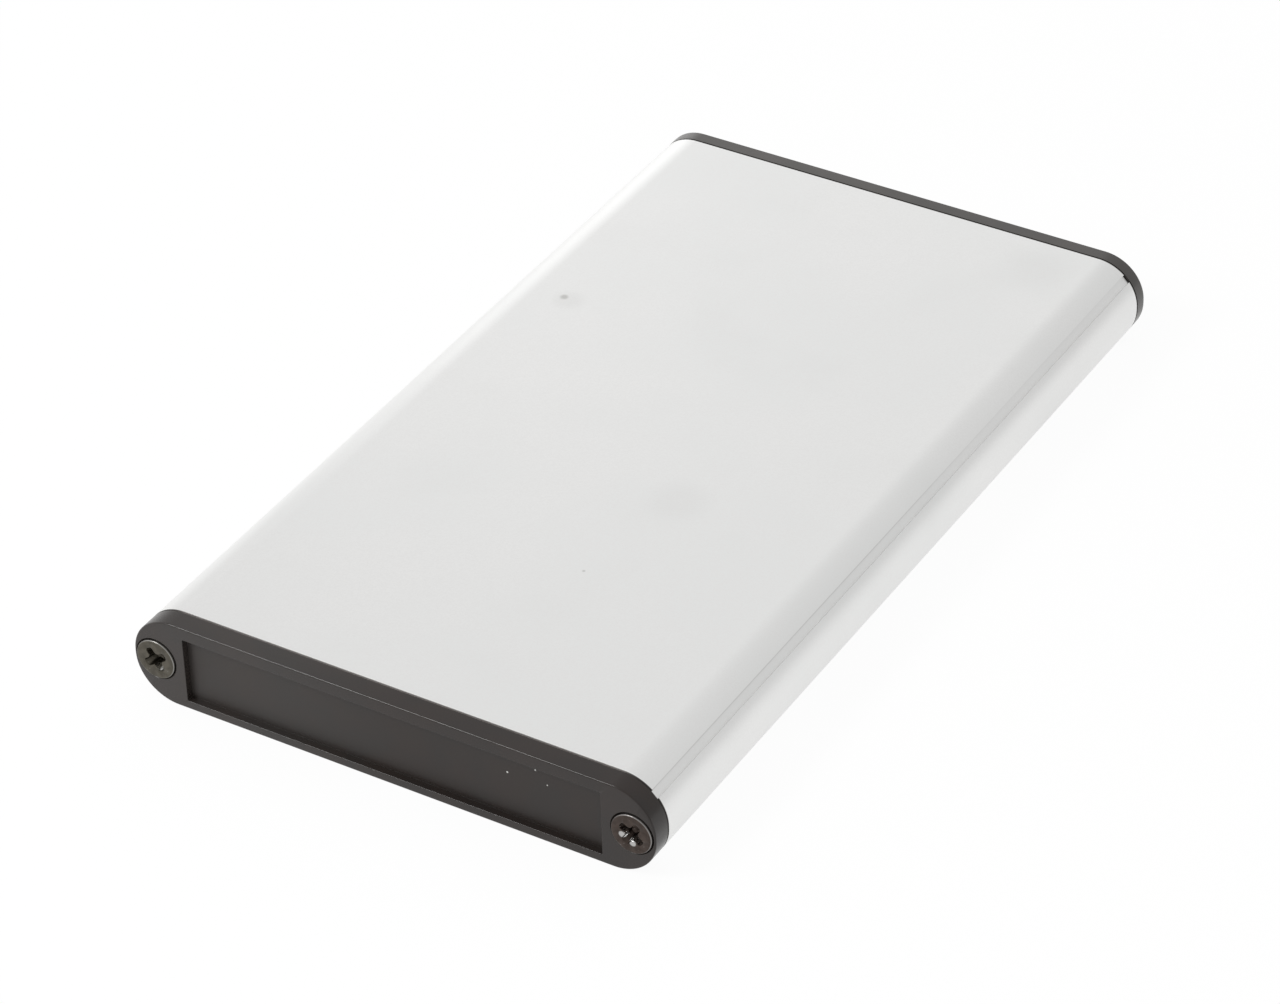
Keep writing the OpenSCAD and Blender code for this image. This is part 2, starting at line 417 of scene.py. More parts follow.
def shade(piece):
    """Smooth rounds, sharp corners and flat faces that stay flat."""
    piece.data.shade_smooth()
    piece.data.set_sharp_from_angle(angle=SHARP)
    modifier = piece.modifiers.new("Flat faces", "WEIGHTED_NORMAL")
    modifier.keep_sharp = True
    apply_modifiers(piece)


def dress(piece, node):
    """Hands a finished piece to the frame in place of its CAD node."""
    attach(piece, "root")
    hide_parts(node)


# ---- Node trees ----

class Signal:
    """A number in a node tree; Python's operators on it add Math nodes."""

    def __init__(self, tree, socket):
        self.tree = tree
        self.socket = socket

    def math(self, operation, *items):
        """Adds a Math node on the items, which are numbers or signals."""
        node = self.tree.nodes.new("ShaderNodeMath")
        node.operation = operation
        for socket, item in zip(node.inputs, items):
            if isinstance(item, Signal):
                self.tree.links.new(item.socket, socket)
            else:
                socket.default_value = item
        return Signal(self.tree, node.outputs[0])

    def __add__(self, other):
        return self.math("ADD", self, other)

    def __sub__(self, other):
        return self.math("SUBTRACT", self, other)

    def __rsub__(self, other):
        return self.math("SUBTRACT", other, self)

    def __mul__(self, other):
        return self.math("MULTIPLY", self, other)

    def __truediv__(self, other):
        return self.math("DIVIDE", self, other)

    def __rtruediv__(self, other):
        return self.math("DIVIDE", other, self)

    def __abs__(self):
        return self.math("ABSOLUTE", self)

    def at_least(self, other):
        """The greater of this number and another."""
        return self.math("MAXIMUM", self, other)

    __radd__ = __add__
    __rmul__ = __mul__


class Graph:
    """A node tree under construction."""

    def __init__(self, tree):
        self.tree = tree

    def add(self, kind, settings=(), inputs=()):
        """Adds a node: its settings first, then a value or a link for each input named."""
        node = self.tree.nodes.new(kind)
        for name, value in dict(settings).items():
            setattr(node, name, value)
        for name, value in dict(inputs).items():
            if isinstance(value, Signal):
                value = value.socket
            if isinstance(value, bpy.types.NodeSocket):
                self.tree.links.new(value, node.inputs[name])
            else:
                node.inputs[name].default_value = value
        return node

    def wrap(self, socket):
        """An output socket as a number to reckon with."""
        return Signal(self.tree, socket)

    def signal(self, node, output=0):
        """A node's output as a number to reckon with."""
        return self.wrap(node.outputs[output])

    def join(self, *parts):
        """Several geometries as one."""
        node = self.add("GeometryNodeJoinGeometry")
        for part in parts:
            self.tree.links.new(part, node.inputs[0])
        return node.outputs[0]

    def axes(self, vector):
        """The X, Y and Z of a vector."""
        split = self.add("ShaderNodeSeparateXYZ", {}, {"Vector": vector})
        return [self.signal(split, axis) for axis in range(3)]

    def vector(self, **axes):
        """A vector of which the named axes are given."""
        return self.add("ShaderNodeCombineXYZ", {}, axes).outputs[0]

    def spread(self, value, low, high, to_low=0, to_high=1):
        """Maps a value smoothly from one range to another."""
        node = self.add(
            "ShaderNodeMapRange",
            {"interpolation_type": "SMOOTHSTEP"},
            {"Value": value, "From Min": low, "From Max": high, "To Min": to_low, "To Max": to_high},
        )
        return self.signal(node)


class Finish(Graph):
    """A material on Object coordinates; its one Principled shader takes the values given."""

    def __init__(self, name, **values):
        self.material = bpy.data.materials.new(name)
        self.material.use_nodes = True
        super().__init__(self.material.node_tree)
        self.shader = self.tree.nodes["Principled BSDF"]
        self.coordinates = self.add("ShaderNodeTexCoord").outputs["Object"]
        for socket, value in values.items():
            self.shader.inputs[self.socket_name(socket)].default_value = value

    @staticmethod
    def socket_name(name):
        """A shader input's own name, from its name as a Python argument."""
        return name.replace("_", " ").title().replace("Ior", "IOR")

    def placed(self, centre, turn):
        """Coordinates centred on a place and turned with it."""
        return self.add(
            "ShaderNodeMapping",
            {"vector_type": "TEXTURE"},
            {"Vector": self.coordinates, "Location": centre, "Rotation": turn},
        ).outputs[0]

    def scaled(self, scale):
        """Coordinates with a scale of their own along each axis."""
        return self.add(
            "ShaderNodeMapping", {"vector_type": "POINT"},
            {"Vector": self.coordinates, "Scale": scale},
        ).outputs[0]

    def noise(self, scale, detail, vector=None):
        """Soft noise from 0 to 1; the scale is its waves in a metre."""
        vector = vector or self.coordinates
        node = self.add("ShaderNodeTexNoise", {}, {"Vector": vector, "Scale": scale, "Detail": detail})
        return self.signal(node)

    def spot(self, centre, radius, soft, vector=None):
        """1 within a radius of a point, falling to 0 over a soft edge."""
        node = self.add(
            "ShaderNodeVectorMath",
            {"operation": "DISTANCE"},
            {0: vector or self.coordinates, 1: centre},
        )
        distance = self.signal(node, "Value")
        return self.spread(distance, radius, radius + soft, to_low=1, to_high=0)

    def box(self, low, high, soft):
        """1 inside an upright box, falling to 0 over a soft edge within it."""
        inside = 1
        for place, start, end in zip(self.axes(self.coordinates), low, high):
            half = (end - start) / 2
            off_middle = abs(place - (start + end) / 2)
            inside = inside * self.spread(off_middle, half - soft, half, to_low=1, to_high=0)
        return inside

    def mix(self, factor, first, second):
        """A colour between two others."""
        node = self.add("ShaderNodeMix", {"data_type": "RGBA"}, {"Factor": factor})
        inputs = [socket for socket in node.inputs if socket.type == "RGBA"]
        for socket, value in zip(inputs, (first, second)):
            if isinstance(value, bpy.types.NodeSocket):
                self.tree.links.new(value, socket)
            else:
                socket.default_value = (*value, 1)
        return next(socket for socket in node.outputs if socket.type == "RGBA")

    def bump(self, height, distance, strength, normal=None):
        """The normal of a surface raised by a height from 0 to 1 times a distance."""
        inputs = {"Height": height, "Distance": distance, "Strength": strength}
        if normal:
            inputs["Normal"] = normal
        return self.add("ShaderNodeBump", {}, inputs).outputs[0]

    def wear(self, **links):
        """Links what varies over the surface to the shader."""
        for socket, value in links.items():
            value = value.socket if isinstance(value, Signal) else value
            self.tree.links.new(value, self.shader.inputs[self.socket_name(socket)])


# ---- Finishes ----

def tinted(base, red, green, blue):
    """A colour with each of its channels scaled."""
    return base[0] * red, base[1] * green, base[2] * blue


def satin_aluminium(settings):
    """Natural aluminium, etched to a fine satin: faint die lines, hand smudges, small marks, and
    painted shade along the groove's corner and in the seams against the caps.
    """
    colours, sizes = settings.colours, settings.body
    finish = Finish("satin_aluminium", metallic=1.0)
    cloud = finish.noise(scale=45, detail=3)
    smudge = finish.spread(finish.noise(scale=70, detail=3), 0.50, 0.80)
    streak = finish.noise(scale=1, detail=3, vector=finish.scaled((900, 6, 900)))
    grain = finish.noise(scale=4200, detail=2)
    smudged, groove_shade_strength, seam_shade_strength = 0.015, 0.3, 0.96    # how strongly the smudges, the painted groove shade and the painted seam shade cover the metal
    base, soil_and_shade = tuple(colours.aluminium), tuple(colours.soil_and_shade)
    tone = finish.mix(finish.spread(cloud, 0.3, 0.7), base, tinted(base, 0.975, 0.985, 0.985))
    tone = finish.mix(finish.spread(grain, 0.3, 0.7), tone, tinted(base, 0.97, 0.97, 0.97))
    tone = finish.mix(smudge * smudged, tone, soil_and_shade)
    for x, y, radius, soft, strength in MARKS:
        mark = finish.spot((x * MM, y * MM, BODY_HIGH.z), radius * MM, soft * MM)
        tone = finish.mix(mark * strength, tone, soil_and_shade)

    # Painted shade along a corner of the groove, mostly towards the front, in the soil colour
    corner = (WIDTH / 2 - sizes.corner, 0, HEIGHT - sizes.corner)
    out, along, across = finish.axes(finish.placed(corner, (0, -sizes.groove_angle, 0)))
    off_corner = abs(across - sizes.groove_width / 2)
    groove_shade = finish.spread(off_corner, 0.04 * MM, 0.14 * MM, to_low=1, to_high=0)
    groove_shade = groove_shade * finish.spread(out, 0, 4 * MM)
    groove_shade = groove_shade * finish.spread(along, -10 * MM, 30 * MM, to_low=1, to_high=0.25)
    tone = finish.mix(groove_shade * groove_shade_strength, tone, soil_and_shade)

    # Painted shade on the deburred edges, in the seams against the caps, in the caps' own dark colour
    off_middle = abs(along - (BODY_LOW.y + BODY_HIGH.y) / 2)
    seam = finish.spread(off_middle, LENGTH / 2 - 0.22 * MM, LENGTH / 2 - 0.12 * MM)
    tone = finish.mix(seam * seam_shade_strength, tone, tuple(colours.plastic))

    roughness = 0.38 + cloud * 0.05 + streak * 0.03 + smudge * 0.03
    normal = finish.bump(grain, distance=0.004 * MM, strength=0.5)
    normal = finish.bump(streak, distance=0.004 * MM, strength=0.3, normal=normal)
    finish.wear(base_color=tone, roughness=roughness, normal=normal)
    return finish.material


def satin_plastic(settings, name, haze):
    """Black moulded plastic with a painted sheen that lightens its left side, pale specks of dust and,
    where haze is given, a paler film; the front recess has a duller floor.
    """
    colours, cap = settings.colours, settings.cap
    finish = Finish(name, specular_ior_level=0.43)
    cloud = finish.noise(scale=180, detail=3)
    grain = finish.noise(scale=6500, detail=2)
    base, dust = tuple(colours.plastic), tuple(colours.dust)
    tone = finish.mix(finish.spread(cloud, 0.35, 0.65), base, tinted(base, 1.25, 1.12, 1.05))

    # Painted sheen: a pale film that fades from left to right, the left side's brighter reflection
    # painted in; and, where haze is given, a paler film in clouds
    side = finish.axes(finish.coordinates)[0]
    left_sheen = finish.spread(side, -0.3 * WIDTH, 0.1 * WIDTH, to_low=0.022, to_high=0)
    tone = finish.mix(left_sheen + (0.7 + cloud * 0.6) * haze, tone, dust)
    floor_y = FRONT_FACE + cap.recess_depth
    for x, z, radius in SPECKS:
        speck = finish.spot((x * MM, floor_y, z * MM), radius * MM, soft=0.08 * MM)
        tone = finish.mix(speck, tone, dust)

    side_wall = WIDTH / 2 - cap.recess_side
    layer = 0.2 * MM
    recess_floor = finish.box(
        (-side_wall, floor_y - layer, cap.recess_bottom),
        (side_wall, floor_y + layer, HEIGHT - cap.recess_top), layer / 2,
    )
    roughness = 0.22 + cloud * 0.06 + recess_floor * 0.22
    normal = finish.bump(grain, distance=0.006 * MM, strength=0.5)
    finish.wear(base_color=tone, roughness=roughness, normal=normal)
    return finish.material


def worn_plating(node, plating, steel, place, head):
    """Dark plating, rubbed to bare steel where a driver turned in the cross; bare steel round the rim
    is partly wear and partly a painted highlight at the upper right.
    """
    finish = Finish(node + "_plating", metallic=1.0)
    local = finish.placed(place.translation, place.to_euler())
    cloud = finish.noise(scale=900, detail=3, vector=local)
    scuff = finish.noise(scale=3200, detail=3, vector=local)
    height = finish.axes(local)[2]
    in_cross = finish.spread(height, 0.05 * MM, -0.05 * MM)
    worn = finish.spread(scuff, 0.66, 0.74) * 0.5
    down, soft = 0.5 * MM, 0.12 * MM    # depth and soft edge of the rubbed places
    for x, y, radius in RUBS[node]:
        worn = worn.at_least(finish.spot((x * MM, y * MM, -down), radius * MM, soft, local))
    worn = worn * in_cross

    # Bare steel round the rim: a little wear all round, raised to a painted highlight at the upper
    # right, where the rim catches the light
    flat = finish.add("ShaderNodeVectorMath", {"operation": "MULTIPLY"}, {0: local, 1: (1, 1, 0)})
    reach = finish.add("ShaderNodeVectorMath", {"operation": "LENGTH"}, {0: flat.outputs[0]})
    highlight_direction = finish.add(
        "ShaderNodeVectorMath", {"operation": "DOT_PRODUCT"}, {0: local, 1: (0.7, 0.7, 0)}
    )
    from_middle = finish.signal(reach, "Value")
    rim = finish.spread(from_middle, head / 2 - 0.14 * MM, head / 2 - 0.06 * MM)
    toward_highlight = finish.signal(highlight_direction, "Value")
    # Painted highlight: the rim's bare steel grows towards the upper right
    rim = rim * finish.spread(toward_highlight, -1.5 * MM, 1.5 * MM, to_low=0.05, to_high=0.25)
    tone = finish.mix(finish.spread(cloud, 0.35, 0.65), tinted(plating, 0.7, 0.7, 0.7), plating)
    tone = finish.mix(worn.at_least(rim), tone, steel)
    roughness = 0.36 - worn * 0.16
    normal = finish.bump(scuff, distance=0.01 * MM, strength=0.4)
    finish.wear(base_color=tone, roughness=roughness, normal=normal)
    return finish.material


# ---- Geometry trees ----

def geometry_tree(name, sockets):
    """A geometry tree with a mesh input, named inputs and a mesh output."""
    tree = bpy.data.node_groups.new(name, "GeometryNodeTree")
    tree.interface.new_socket("Geometry", in_out="INPUT", socket_type="NodeSocketGeometry")
    for label, kind in sockets.items():
        tree.interface.new_socket(label, in_out="INPUT", socket_type="NodeSocket" + kind)
    tree.interface.new_socket("Geometry", in_out="OUTPUT", socket_type="NodeSocketGeometry")
    graph = Graph(tree)
    return graph, graph.add("NodeGroupInput").outputs


def end_tree(graph, geometry, material):
    """Ends a tree in Realize Instances and Set Material."""
    plain = graph.add("GeometryNodeRealizeInstances", {}, {"Geometry": geometry})
    painted = graph.add(
        "GeometryNodeSetMaterial", {}, {"Geometry": plain.outputs[0], "Material": material}
    )
    graph.add("NodeGroupOutput", {}, {"Geometry": painted.outputs[0]})


def run_tree(piece, graph, values):
    """Runs a geometry tree on a piece and keeps the result as a plain mesh."""
    modifier = piece.modifiers.new(graph.tree.name, "NODES")
    modifier.node_group = graph.tree
    for item in graph.tree.interface.items_tree:
        if item.in_out == "INPUT" and item.name in values:
            modifier[item.identifier] = values[item.name]
    apply_modifiers(piece)


def extrusion_tree():
    """Fills a flat section and draws it out along its length."""
    graph, inputs = geometry_tree(
        "Extrude section",
        {"Length": "Float", "Front": "Float", "Mid height": "Float", "Material": "Material"},
    )
    outline = graph.add("GeometryNodeMeshToCurve", {}, {"Mesh": inputs["Geometry"]})
    face = graph.add("GeometryNodeFillCurve", {}, {"Curve": outline.outputs[0]})
    # The offset is linked, because left alone it would be each face's own normal
    drawn = graph.add(
        "GeometryNodeExtrudeMesh",
        {"mode": "FACES"},
        {"Mesh": face.outputs[0], "Offset": graph.vector(Z=1.0),
         "Offset Scale": inputs["Length"], "Individual": False},
    )
    back = graph.add("GeometryNodeFlipFaces", {}, {"Mesh": face.outputs[0]})
    both = graph.join(drawn.outputs["Mesh"], back.outputs[0])
    closed = graph.add("GeometryNodeMergeByDistance", {}, {"Geometry": both, "Distance": TOUCH})
    rear = graph.wrap(inputs["Front"]) + graph.wrap(inputs["Length"])
    placed = graph.add(
        "GeometryNodeTransform", {},
        {"Geometry": closed.outputs[0],
         "Translation": graph.vector(Y=rear, Z=inputs["Mid height"]),
         "Rotation": (math.pi / 2, 0, 0)},
    )
    end_tree(graph, placed.outputs[0], inputs["Material"])
    return graph


def screw_tree():
    """Winds a thread on a turned blank, then turns the screw and puts it in its hole."""
    graph, inputs = geometry_tree(
        "Thread and place screw",
        {"Core": "Float", "Thread": "Float", "Pitch": "Float", "Start": "Float",
         "Thread length": "Float", "Turn": "Float", "Place": "Vector", "Facing": "Vector",
         "Material": "Material"},
    )
    core = graph.wrap(inputs["Core"]) / 2
    height = graph.wrap(inputs["Thread"]) / 2 - core
    pitch = graph.wrap(inputs["Pitch"])
    run = graph.wrap(inputs["Thread length"])
    foot, crest = 0.86, 0.125    # widths of the ridge, as shares of the pitch
    sunk = 0.1                   # share of its height by which the ridge goes into the core
    path = graph.add(
        "GeometryNodeCurveSpiral", {},
        {"Resolution": THREAD_STEPS, "Rotations": run / pitch, "Start Radius": core,
         "End Radius": core, "Height": run, "Reverse": False},
    )
    upright = graph.add("GeometryNodeSetCurveNormal", {"mode": "Z_UP"}, {"Curve": path.outputs[0]})
    ridge = graph.add(
        "GeometryNodeCurvePrimitiveQuadrilateral", {"mode": "TRAPEZOID"},
        {"Bottom Width": pitch * foot, "Top Width": pitch * crest, "Height": height * (1 + sunk),
         "Offset": 0.0},
    )
    standing = graph.add(
        "GeometryNodeTransform", {},
        {"Geometry": ridge.outputs[0], "Rotation": (0, 0, -math.pi / 2),
         "Translation": graph.vector(X=height * ((1 - sunk) / 2))},
    )
    thread = graph.add(
        "GeometryNodeCurveToMesh", {},
        {"Curve": upright.outputs[0], "Profile Curve": standing.outputs[0], "Fill Caps": True},
    )
    lowered = graph.add(
        "GeometryNodeTransform", {},
        {"Geometry": thread.outputs[0], "Translation": graph.vector(Z=inputs["Start"])},
    )
    turned = graph.add(
        "GeometryNodeTransform", {},
        {"Geometry": graph.join(lowered.outputs[0], inputs["Geometry"]),
         "Rotation": graph.vector(Z=inputs["Turn"])},
    )
    placed = graph.add(
        "GeometryNodeTransform", {},
        {"Geometry": turned.outputs[0], "Rotation": inputs["Facing"],
         "Translation": inputs["Place"]},
    )
    end_tree(graph, placed.outputs[0], inputs["Material"])
    return graph


# ---- Pieces ----

def outline_mesh(name, *outlines):
    """Closed outlines as edges alone."""
    points, edges = [], []
    for outline in outlines:
        first = len(points)
        count = len(outline)
        points += [(x, y, 0) for x, y in outline]
        edges += [(first + k, first + (k + 1) % count) for k in range(count)]
    mesh = bpy.data.meshes.new(name)
    mesh.from_pydata(points, edges, [])
    return mesh


def is_outer_end(edge, mesh, sizes):
    """Whether an edge runs round the outside of one of the cut ends, clear of the groove."""
    outside = sizes.corner - 10 * TOUCH
    first, second = (mesh.vertices[index].co for index in edge.vertices)
    for x, y, z in (first, second):
        away_x = max(abs(x) - (WIDTH / 2 - sizes.corner), 0)
        away_z = max(abs(z - MID_HEIGHT) - (HEIGHT / 2 - sizes.corner), 0)
        at_end = min(abs(y - BODY_LOW.y), abs(y - BODY_HIGH.y)) < TOUCH
        if not at_end or math.hypot(away_x, away_z) < outside:
            return False
    return abs(first.y - second.y) < TOUCH


def build_body(settings):
    """Draws out the section and breaks the outer edges of its cut ends."""
    sizes = settings.body
    section = outline_mesh("body_section", outer_section(sizes), inner_section(sizes))
    piece = add_object("body_extrusion", section)
    run_tree(piece, extrusion_tree(), {
        "Length": LENGTH, "Front": BODY_LOW.y, "Mid height": MID_HEIGHT,
        "Material": satin_aluminium(settings),
    })
    mesh = piece.data
    weights = mesh.attributes.new("bevel_weight_edge", "FLOAT", "EDGE")
    for edge in mesh.edges:
        weights.data[edge.index].value = 1.0 if is_outer_end(edge, mesh, sizes) else 0.0
    deburr = piece.modifiers.new("Deburr", "BEVEL")
    deburr.limit_method = "WEIGHT"
    deburr.width = sizes.deburr
    deburr.segments = 1
    deburr.use_clamp_overlap = False
    apply_modifiers(piece)
    shade(piece)
    dress(piece, "body")


def cap_shell(settings, thickness, with_recess):
    """A cap lying face up, its outer face on the XY plane."""
    body, cap, screw = settings.body, settings.cap, settings.screw
    shell = Shell()
    plug_reach = WIDTH / 2 - body.guide_reach - cap.plug_gap
    plug_height = HEIGHT - 2 * body.wall - 2 * cap.plug_gap

    def outside(inset):
        return rounded_rect(WIDTH - 2 * inset, HEIGHT - 2 * inset, body.corner - inset)

    def plug(inset):
        return rounded_rect(
            2 * (plug_reach - inset), plug_height - 2 * inset, cap.plug_corner - inset, CORNER_STEPS
        )

    face, seam = shell.loft(outside, [
        *rounded_edge(cap.edge), (0, cap.seam - thickness),
        (cap.seam_depth, cap.seam - thickness), (cap.seam_depth, -thickness),
    ])
    plug_end = -thickness - cap.plug_depth
    root, tip = shell.loft(
        plug, [(0, -thickness), (0, plug_end + cap.plug_lead), (cap.plug_lead, plug_end)]
    )
    pocket_corner = 0.2 * MM
    pocket = rounded_rect(
        2 * (plug_reach - cap.plug_wall), plug_height - 2 * cap.plug_wall, pocket_corner,
        CORNER_STEPS,
    )
    pocket_mouth, pocket_floor = shell.ring(pocket, plug_end), shell.ring(pocket, -thickness)
    shell.wall(pocket_mouth, pocket_floor)
    shell.fill(tip, pocket_mouth)
    shell.fill(pocket_floor)

    mouth = screw.head / 2 + screw.gap
    cone = mouth - cap.hole / 2
    face_rings, back_rings = [face], [seam, root]
    for side in (LEFT, RIGHT):
        centre = (side * (WIDTH / 2 - body.screw_inset), 0)
        top, bottom = shell.loft(
            lambda inset: circle(centre, mouth - inset),
            [(0, 0), (cone, -cone), (cone, -thickness)],
        )
        face_rings.append(top)
        back_rings.append(bottom)

    if with_recess:
        width = WIDTH - 2 * cap.recess_side
        height = HEIGHT - cap.recess_top - cap.recess_bottom
        middle = (0, (cap.recess_bottom - cap.recess_top) / 2)
        corner = 0.15 * MM

        def recess(inset):
            return rounded_rect(
                width - 2 * inset, height - 2 * inset, corner - inset, CORNER_STEPS, middle
            )

        lip = [(-inset, level) for inset, level in rounded_edge(cap.recess_edge)]
        brim, floor = shell.loft(recess, [*lip, (0, -cap.recess_depth)])
        face_rings.append(brim)
        shell.fill(floor)
    shell.fill(*face_rings)
    shell.fill(*back_rings)
    return shell


def build_cap(settings, end, node, material, thickness, with_recess):
    """Moulds one cap and seats it on its end."""
    mesh = cap_shell(settings, thickness, with_recess).mesh(node + "_moulding")
    mesh.transform(facing(end))
    piece = add_object(node + "_moulding", mesh, material)
    shade(piece)
    dress(piece, node)


def screw_blank(sizes):
    """A countersunk head with its cross recess, on a plain core; its top is at the origin."""
    shell = Shell()
    head, shank, core = sizes.head / 2, sizes.shank / 2, sizes.core / 2
    land = sizes.proud + sizes.gap
    neck = land + head - shank
    run_out = 0.2 * MM
    tip = 0.5 * MM
    top, end = shell.loft(
        lambda inset: circle((0, 0), head - inset),
        [
            *rounded_edge(sizes.rim),
            (0, -land),
            (head - shank, -neck),
            (head - core, -neck - run_out),
            (head - core, tip - sizes.reach),
            (head - core + tip, -sizes.reach),
        ],
    )
    shell.fill(end)

    # The cross has a worn brim and gets smaller as it goes down, its arms' length more than
    # their width, and it ends in a small foot
    depth, reach, half_width = sizes.cross_depth, sizes.cross / 2, sizes.cross_width / 2
    steps, taper, kept_width = 6, 0.46, 0.35
    levels = [(1.03, 0), (0.985, -0.03 * MM)]
    levels += [(1 - taper * k / steps, -depth * k / steps) for k in range(1, steps + 1)]
    crosses = [
        (reach * share, half_width * (kept_width + (1 - kept_width) * share), level)
        for share, level in levels
    ]
    crosses.append((reach * 0.3, half_width * 0.5, -depth * 1.06))
    rings = [shell.ring(cross_outline(arm, width), level) for arm, width, level in crosses]
    for first, second in zip(rings, rings[1:]):
        shell.wall(first, second)
    shell.fill(rings[-1])
    shell.fill(top, rings[0])
    return shell


def build_screw(settings, node, graph, turn):
    """Turns one screw, with its thread and its own wear, and drives it home."""
    end, side = SCREW_PLACES[node]
    sizes, colours = settings.screw, settings.colours
    place = facing(end, side * (WIDTH / 2 - settings.body.screw_inset))
    place = place @ Matrix.Translation((0, 0, sizes.proud))
    plating = colours.olive if side == LEFT else colours.brown
    finish = worn_plating(node, tuple(plating), tuple(colours.steel), place, sizes.head)
    piece = add_object(node + "_turned", screw_blank(sizes).mesh(node + "_turned"))
    point, neck = 0.4, 2.6    # mm at each end of the screw that the thread leaves plain
    run_tree(piece, graph, {
        "Core": sizes.core, "Thread": sizes.thread, "Pitch": sizes.pitch,
        "Start": -sizes.reach + point * MM, "Thread length": sizes.reach - (point + neck) * MM,
        "Turn": turn, "Place": place.translation, "Facing": Vector(place.to_euler()),
        "Material": finish,
    })
    shade(piece)
    dress(piece, node)


# ---- Stage ----

def add_lamp(name, place, size, power):
    """A square soft lamp, turned to the enclosure."""
    data = bpy.data.lights.new(name, "AREA")
    data.size = size
    data.energy = power
    lamp = bpy.data.objects.new(name, data)
    lamp.location = place
    lamp.rotation_euler = Vector(place).to_track_quat("Z", "Y").to_euler()
    bpy.context.scene.collection.objects.link(lamp)


def seen_by(graph, *rays):
    """1 for the rays of the kinds named, 0 for all others."""
    path = graph.add("ShaderNodeLightPath")
    seen = graph.signal(path, rays[0])
    for ray in rays[1:]:
        seen = seen.at_least(graph.signal(path, ray))
    return seen


def build_floor(stage):
    """A floor that looks white, keeps a faint shadow and lights the piece as a pale table does."""
    mesh = bpy.data.meshes.new("floor")
    half = 3.0    # metres from the middle to an edge
    mesh.from_pydata(
        [(-half, -half, 0), (half, -half, 0), (half, half, 0), (-half, half, 0)], [], [(0, 1, 2, 3)]
    )
    material = bpy.data.materials.new("pale_floor")
    material.use_nodes = True
    graph = Graph(material.node_tree)
    graph.tree.nodes.clear()
    matte = graph.add("ShaderNodeBsdfDiffuse", {}, {"Color": (*stage.floor, 1)})
    white = graph.add("ShaderNodeEmission", {}, {"Color": (1, 1, 1, 1), "Strength": 1.0})
    seen = seen_by(graph, "Is Camera Ray", "Is Glossy Ray", "Is Transmission Ray")
    mixed = graph.add(
        "ShaderNodeMixShader", {},
        {0: seen * (1 - stage.shadow), 1: matte.outputs[0], 2: white.outputs[0]},
    )
    graph.add("ShaderNodeOutputMaterial", {}, {"Surface": mixed.outputs[0]})
    floor = add_object("floor", mesh, material)


def build_tent(stage):
    """A light tent, brighter above and on the left, that looks white from the camera."""
    world = bpy.data.worlds.new("light_tent")
    bpy.context.scene.world = world
    world.use_nodes = True
    graph = Graph(world.node_tree)
    graph.tree.nodes.clear()
    coordinates = graph.add("ShaderNodeTexCoord")
    rightward, _, upward = graph.axes(coordinates.outputs["Generated"])
    foot, top = -0.05, 0.75
    walls = graph.spread(upward, foot, top, stage.horizon, stage.zenith)
    wall_edge, wall_middle = -0.68, -0.95
    left = graph.spread(rightward, wall_edge, wall_middle, 0, stage.left)
    light = graph.add("ShaderNodeBackground", {}, {"Color": walls + left, "Strength": 1.0})
    white = graph.add("ShaderNodeBackground", {}, {"Color": (1, 1, 1, 1), "Strength": 1.0})
    mixed = graph.add(
        "ShaderNodeMixShader", {},
        {0: seen_by(graph, "Is Camera Ray"), 1: light.outputs[0], 2: white.outputs[0]},
    )
    graph.add("ShaderNodeOutputWorld", {}, {"Surface": mixed.outputs[0]})


def add_camera(stage):
    """Places the camera round the enclosure and aims it at its target."""
    scene = bpy.context.scene
    data = bpy.data.cameras.new("camera")
    data.lens = stage.lens
    data.clip_start = 0.01
    camera = bpy.data.objects.new("camera", data)
    scene.collection.objects.link(camera)
    level = math.cos(stage.elevation)
    away = Vector((
        math.sin(stage.azimuth) * level, -math.cos(stage.azimuth) * level, math.sin(stage.elevation)
    ))
    look = (-away).to_track_quat("-Z", "Y").to_matrix().to_4x4()
    place = Matrix.Translation(Vector(stage.target) + away * stage.distance)
    camera.matrix_world = place @ look @ Matrix.Rotation(stage.roll, 4, "Z")
    scene.camera = camera


def build_stage(settings):
    """Makes the floor, the tent, three soft lamps and the camera."""
    stage = settings.stage
    bpy.context.scene.view_settings.view_transform = "Standard"
    build_floor(stage)
    build_tent(stage)
    add_lamp("back_lamp", place=(-0.33, 0.62, 0.28), size=0.45, power=stage.lamp)
    add_lamp("edge_lamp", place=(-0.21, 0.236, 0.055), size=0.12, power=stage.edge)
    add_lamp("key_lamp", place=(-0.34, -0.46, 0.54), size=0.22, power=stage.key)
    add_camera(stage)


# ---- Operators, panel and registration ----

class ENCLOSURE_OT_body(Operator):
    """Build the extruded body"""

    bl_idname = "enclosure.body"
    bl_label = "Extruded Body"

    def execute(self, context):
        build_body(context.scene.enclosure)
        return {"FINISHED"}


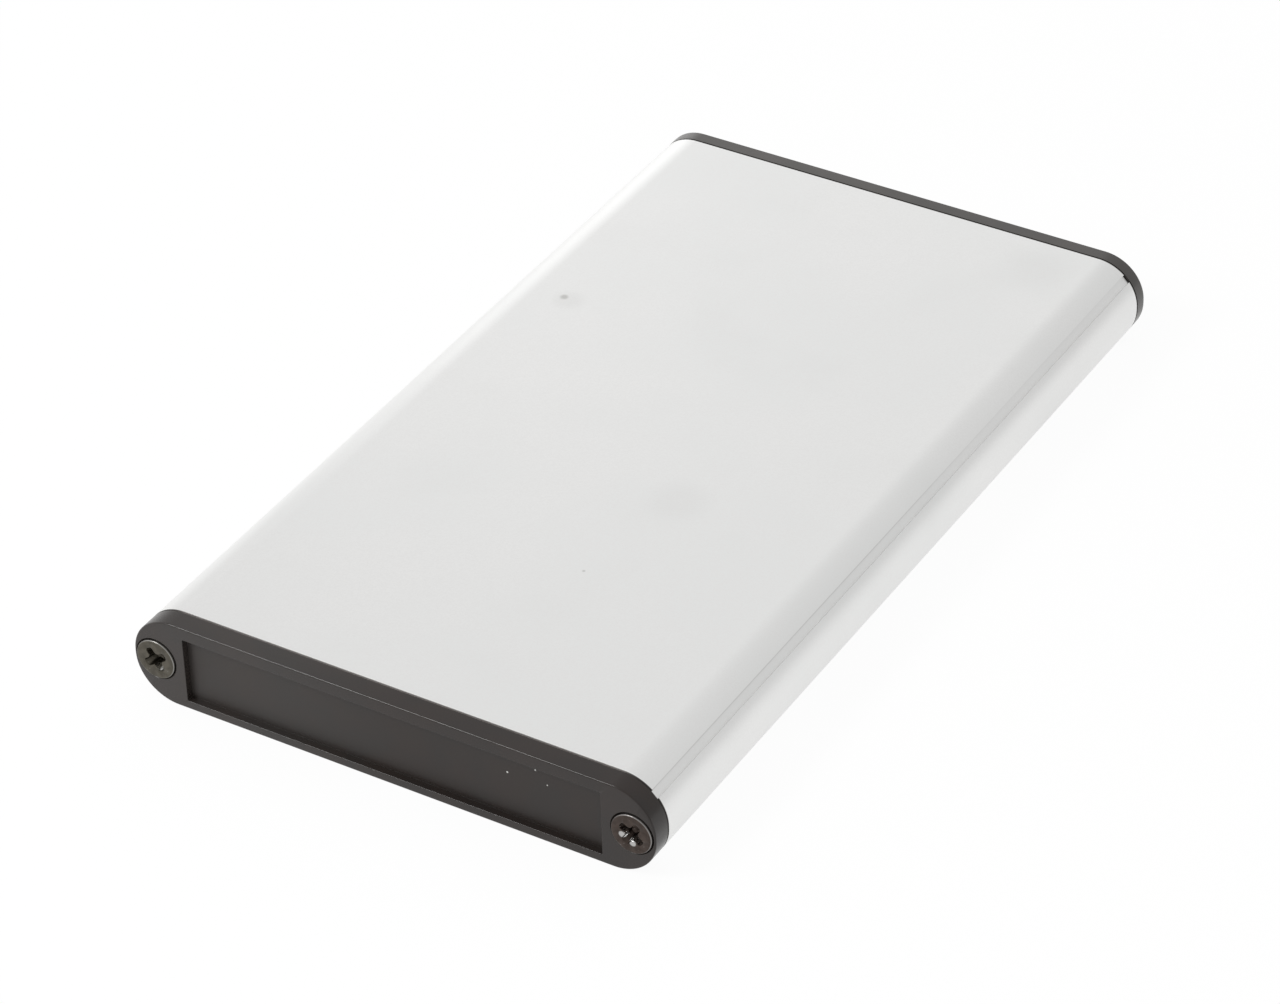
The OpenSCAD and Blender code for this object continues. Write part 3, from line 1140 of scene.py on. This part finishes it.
class ENCLOSURE_OT_caps(Operator):
    """Build both moulded end caps"""

    bl_idname = "enclosure.caps"
    bl_label = "End Caps"

    def execute(self, context):
        settings = context.scene.enclosure
        clean = satin_plastic(settings, "satin_plastic", 0.0)
        # The rear cap gets a paler film in clouds
        paler = satin_plastic(settings, "dusty_plastic", settings.colours.haze)
        build_cap(settings, "front", "front_cap", clean, BODY_LOW.y - FRONT_FACE, True)
        build_cap(settings, "rear", "rear_cap", paler, REAR_FACE - BODY_HIGH.y, False)
        return {"FINISHED"}


class ENCLOSURE_OT_screws(Operator):
    """Build the four countersunk screws"""

    bl_idname = "enclosure.screws"
    bl_label = "Screws"

    def execute(self, context):
        settings = context.scene.enclosure
        graph = screw_tree()
        for node, turn in zip(SCREW_PLACES, settings.screw.turns):
            build_screw(settings, node, graph, turn)
        return {"FINISHED"}


class ENCLOSURE_OT_stage(Operator):
    """Build the floor, the light tent, the lamps and the camera"""

    bl_idname = "enclosure.stage"
    bl_label = "Stage"

    def execute(self, context):
        build_stage(context.scene.enclosure)
        return {"FINISHED"}


OPERATORS = (ENCLOSURE_OT_stage, ENCLOSURE_OT_body, ENCLOSURE_OT_caps, ENCLOSURE_OT_screws)


class ENCLOSURE_PT_panel(Panel):
    """Lists the enclosure's pieces"""

    bl_idname = "ENCLOSURE_PT_panel"
    bl_label = "Extruded Enclosure"
    bl_space_type = "VIEW_3D"
    bl_region_type = "UI"
    bl_category = "Enclosure"

    def draw(self, context):
        for operator in OPERATORS:
            self.layout.operator(operator.bl_idname)


CLASSES = (
    BodySizes, CapSizes, ScrewSizes, Colours, StageSettings, Settings, *OPERATORS,
    ENCLOSURE_PT_panel,
)


def register():
    for item in CLASSES:
        bpy.utils.register_class(item)
    bpy.types.Scene.enclosure = PointerProperty(type=Settings)


def unregister():
    del bpy.types.Scene.enclosure
    for item in reversed(CLASSES):
        bpy.utils.unregister_class(item)


def main():
    register()
    bpy.ops.enclosure.stage()
    bpy.ops.enclosure.body()
    bpy.ops.enclosure.caps()
    bpy.ops.enclosure.screws()


if __name__ == "__main__":
    main()
